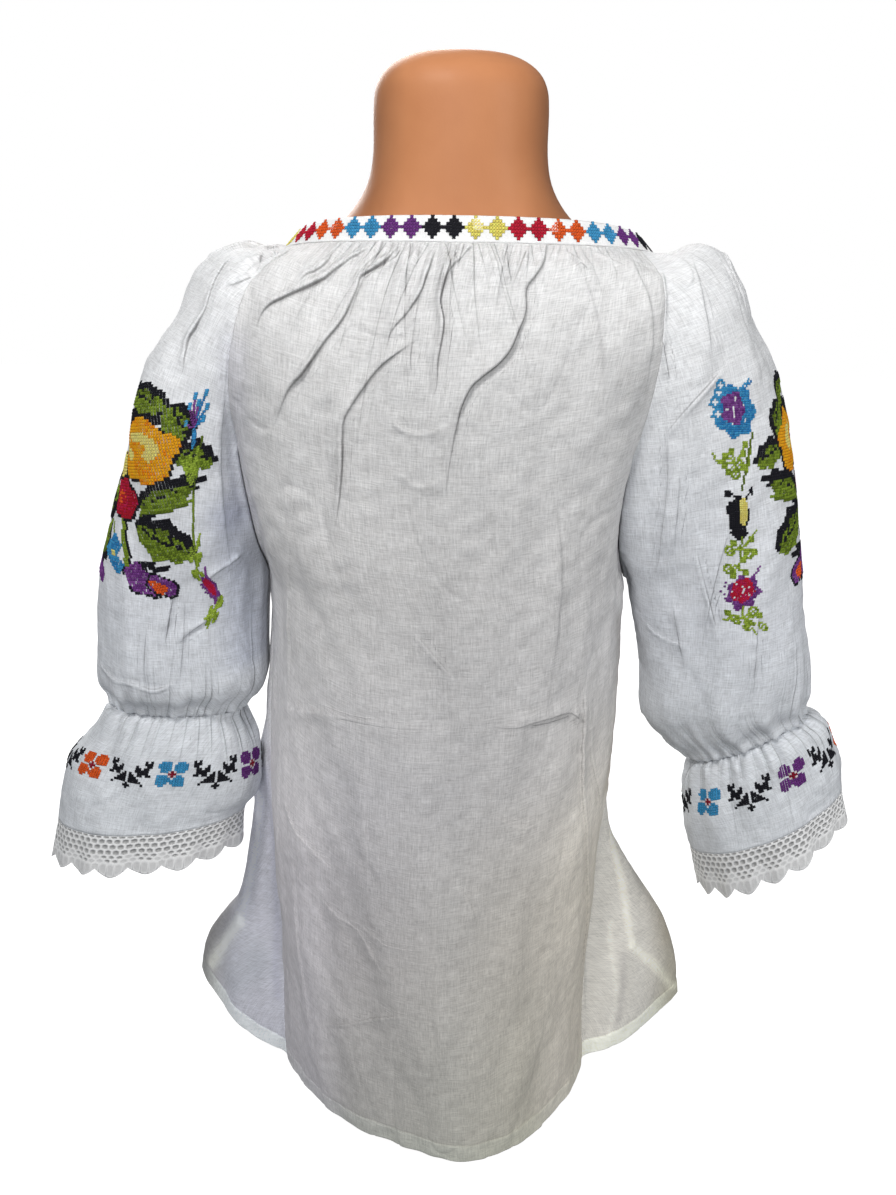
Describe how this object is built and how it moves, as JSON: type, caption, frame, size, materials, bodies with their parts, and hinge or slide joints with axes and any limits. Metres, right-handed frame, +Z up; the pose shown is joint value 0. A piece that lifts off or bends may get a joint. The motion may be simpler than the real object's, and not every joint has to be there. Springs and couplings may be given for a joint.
{
  "type": "romanian ie blouse on a limbless torso form",
  "caption": "Gathered raglan blouse with a cross-stitched neckband, elbow sleeves, frilled cuffs and crochet edging, worn by a limbless torso form.",
  "frame": {"origin": "middle of the torso form's flat base", "axes": "+Z up, the garment's front faces -Y and its back faces +Y, +X is the wearer's left"},
  "size_m": [0.646, 0.2843, 0.8118],
  "materials": {
    "cloth": "thin white slubby cotton, plain weave, slightly sheer",
    "lace": "white crochet edging",
    "form_plastic": "smooth tan moulded plastic with a soft gloss"
  },
  "bodies": {
    "root": {"back": "cloth", "front": "cloth", "sleeve_left": "cloth", "sleeve_right": "cloth", "ruffle_left": "cloth", "ruffle_right": "cloth", "neckband": "cloth", "lace_left": "lace", "lace_right": "lace", "torso_form": "form_plastic"}
  },
  "joints": []
}
